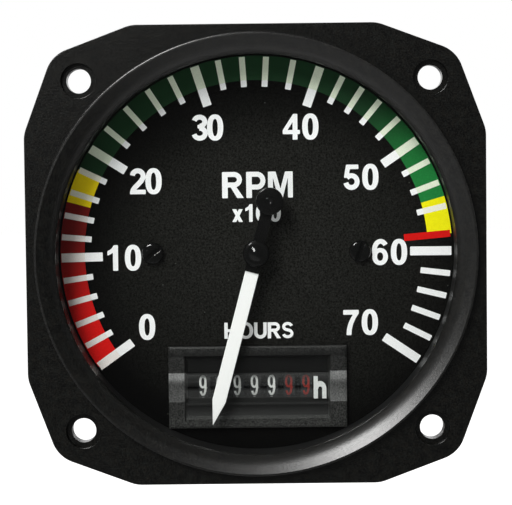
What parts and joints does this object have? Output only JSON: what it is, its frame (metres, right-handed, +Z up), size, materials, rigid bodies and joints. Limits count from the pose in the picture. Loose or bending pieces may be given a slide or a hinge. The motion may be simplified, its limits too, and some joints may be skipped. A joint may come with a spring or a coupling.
{
  "type": "aircraft tachometer",
  "caption": "Round panel-mount electric tachometer: square flange and ring bezel, black dial with coloured arcs, white pointer and a running-hours counter.",
  "frame": {"origin": "on the dial axis, in the plane of the flange's front face, which meets the back of the panel", "axes": "the dial faces -Y, +Z is up as the dial is read, +X is to the reader's right"},
  "size_m": [0.0826, 0.0599, 0.0826],
  "materials": {
    "black_casting": "black powder coat, fine satin texture",
    "black_moulding": "moulded, satin",
    "gasket_rubber": "matt",
    "cover_glass": "polished, clear",
    "dial_paint": "matt black print ground",
    "blackened_steel": "black oxide",
    "steel": "bright, turned",
    "brass": "turned",
    "board_laminate": "green solder mask",
    "chip_plastic": "matt epoxy",
    "capacitor_can": "satin",
    "trimmer_blue": "moulded",
    "resistor_coat": "lacquer",
    "shield_steel": "tin plated",
    "nylon": "natural nylon",
    "copper_wire": "enamelled wire",
    "magnet": "sintered, plated",
    "pointer_white": "white paint",
    "pointer_black": "matt",
    "weight_black": "blackened",
    "counter_black": "moulded",
    "window_clear": "clear moulding, frosted rim",
    "wheel_black": "moulded, printed digits"
  },
  "bodies": {
    "case": {"bezel_flange": "black_casting", "glass_gasket": "gasket_rubber", "cover_glass": "cover_glass", "spacer_ring": "black_moulding", "dial_plate": "dial_paint", "dial_screws": "blackened_steel", "rear_can": "black_moulding", "case_screws": "steel", "support_pillars": "brass", "board_screws": "steel", "circuit_board": "board_laminate", "driver_chip": "chip_plastic", "regulator": "chip_plastic", "filter_capacitors": "capacitor_can", "trim_potentiometers": "trimmer_blue", "resistors": "resistor_coat", "terminal_studs": "brass", "terminal_washers": "brass", "terminal_nuts": "brass", "movement_shield": "shield_steel", "bobbin_front": "nylon", "bobbin_rear": "nylon", "inner_coil": "copper_wire", "outer_coil": "copper_wire", "movement_pins": "steel", "return_magnet": "magnet", "shaft_bush": "brass", "counter_housing": "counter_black", "counter_window": "window_clear", "counter_mask": "counter_black", "unit_plate": "counter_black", "counter_shaft": "steel", "pinion_shaft": "steel", "gear_axles": "steel", "motor_stator": "shield_steel", "motor_coil": "copper_wire", "counter_pins": "brass"},
    "pointer": {"pointer_blade": "pointer_white", "pointer_hub": "pointer_black", "counterweight": "weight_black", "pointer_shaft": "steel", "rotor_magnet": "magnet"},
    "ten_thousands_wheel": {"ten_thousands_wheel": "wheel_black"},
    "thousands_wheel": {"thousands_wheel": "wheel_black"},
    "hundreds_wheel": {"hundreds_wheel": "wheel_black"},
    "tens_wheel": {"tens_wheel": "wheel_black"},
    "units_wheel": {"units_wheel": "wheel_black"},
    "tenths_wheel": {"tenths_wheel": "wheel_black"},
    "hundredths_wheel": {"hundredths_wheel": "wheel_black"},
    "carry_pinion_1": {"carry_pinion_1": "nylon"},
    "carry_pinion_2": {"carry_pinion_2": "nylon"},
    "carry_pinion_3": {"carry_pinion_3": "nylon"},
    "carry_pinion_4": {"carry_pinion_4": "nylon"},
    "carry_pinion_5": {"carry_pinion_5": "nylon"},
    "carry_pinion_6": {"carry_pinion_6": "nylon"},
    "reduction_gear": {"reduction_gear": "nylon"},
    "motor_rotor": {"motor_rotor": "magnet"}
  },
  "joints": [
    {"name": "pointer_turn", "type": "hinge", "parent": "case", "child": "pointer", "pos_m": [0, 0, 0], "axis": [0, 1, 0], "range_deg": [0, 295]},
    {"name": "hundredths_wheel_spin", "type": "hinge", "parent": "case", "child": "hundredths_wheel", "pos_m": [0.009, 0.0178, -0.0248], "axis": [-1, 0, 0], "continuous": true},
    {"name": "tenths_wheel_spin", "type": "hinge", "parent": "case", "child": "tenths_wheel", "pos_m": [0.00585, 0.0178, -0.0248], "axis": [-1, 0, 0], "continuous": true},
    {"name": "units_wheel_spin", "type": "hinge", "parent": "case", "child": "units_wheel", "pos_m": [0.0027, 0.0178, -0.0248], "axis": [-1, 0, 0], "continuous": true},
    {"name": "tens_wheel_spin", "type": "hinge", "parent": "case", "child": "tens_wheel", "pos_m": [-0.00045, 0.0178, -0.0248], "axis": [-1, 0, 0], "continuous": true},
    {"name": "hundreds_wheel_spin", "type": "hinge", "parent": "case", "child": "hundreds_wheel", "pos_m": [-0.0036, 0.0178, -0.0248], "axis": [-1, 0, 0], "continuous": true},
    {"name": "thousands_wheel_spin", "type": "hinge", "parent": "case", "child": "thousands_wheel", "pos_m": [-0.00675, 0.0178, -0.0248], "axis": [-1, 0, 0], "continuous": true},
    {"name": "ten_thousands_wheel_spin", "type": "hinge", "parent": "case", "child": "ten_thousands_wheel", "pos_m": [-0.0099, 0.0178, -0.0248], "axis": [-1, 0, 0], "continuous": true},
    {"name": "carry_pinion_1_spin", "type": "hinge", "parent": "case", "child": "carry_pinion_1", "pos_m": [-0.00833, 0.02508, -0.0248], "axis": [-1, 0, 0], "continuous": true},
    {"name": "carry_pinion_2_spin", "type": "hinge", "parent": "case", "child": "carry_pinion_2", "pos_m": [-0.00517, 0.02508, -0.0248], "axis": [-1, 0, 0], "continuous": true},
    {"name": "carry_pinion_3_spin", "type": "hinge", "parent": "case", "child": "carry_pinion_3", "pos_m": [-0.00202, 0.02508, -0.0248], "axis": [-1, 0, 0], "continuous": true},
    {"name": "carry_pinion_4_spin", "type": "hinge", "parent": "case", "child": "carry_pinion_4", "pos_m": [0.00112, 0.02508, -0.0248], "axis": [-1, 0, 0], "continuous": true},
    {"name": "carry_pinion_5_spin", "type": "hinge", "parent": "case", "child": "carry_pinion_5", "pos_m": [0.00428, 0.02508, -0.0248], "axis": [-1, 0, 0], "continuous": true},
    {"name": "carry_pinion_6_spin", "type": "hinge", "parent": "case", "child": "carry_pinion_6", "pos_m": [0.00743, 0.02508, -0.0248], "axis": [-1, 0, 0], "continuous": true},
    {"name": "reduction_gear_spin", "type": "hinge", "parent": "case", "child": "reduction_gear", "pos_m": [0.01095, 0.0232, -0.02168], "axis": [-1, 0, 0], "continuous": true},
    {"name": "motor_rotor_spin", "type": "hinge", "parent": "case", "child": "motor_rotor", "pos_m": [0.01225, 0.0264, -0.02168], "axis": [-1, 0, 0], "continuous": true}
  ],
  "couplings": [
    {"joint": "tenths_wheel_spin", "follows": "hundredths_wheel_spin", "ratio": 0.1},
    {"joint": "units_wheel_spin", "follows": "hundredths_wheel_spin", "ratio": 0.01},
    {"joint": "tens_wheel_spin", "follows": "hundredths_wheel_spin", "ratio": 0.001},
    {"joint": "hundreds_wheel_spin", "follows": "hundredths_wheel_spin", "ratio": 0.0001},
    {"joint": "thousands_wheel_spin", "follows": "hundredths_wheel_spin", "ratio": 0.00001},
    {"joint": "ten_thousands_wheel_spin", "follows": "hundredths_wheel_spin", "ratio": 0.000001},
    {"joint": "carry_pinion_1_spin", "follows": "hundredths_wheel_spin", "ratio": -0.0000025},
    {"joint": "carry_pinion_2_spin", "follows": "hundredths_wheel_spin", "ratio": -0.000025},
    {"joint": "carry_pinion_3_spin", "follows": "hundredths_wheel_spin", "ratio": -0.00025},
    {"joint": "carry_pinion_4_spin", "follows": "hundredths_wheel_spin", "ratio": -0.0025},
    {"joint": "carry_pinion_5_spin", "follows": "hundredths_wheel_spin", "ratio": -0.025},
    {"joint": "carry_pinion_6_spin", "follows": "hundredths_wheel_spin", "ratio": -0.25},
    {"joint": "reduction_gear_spin", "follows": "hundredths_wheel_spin", "ratio": -5},
    {"joint": "motor_rotor_spin", "follows": "hundredths_wheel_spin", "ratio": 15}
  ]
}
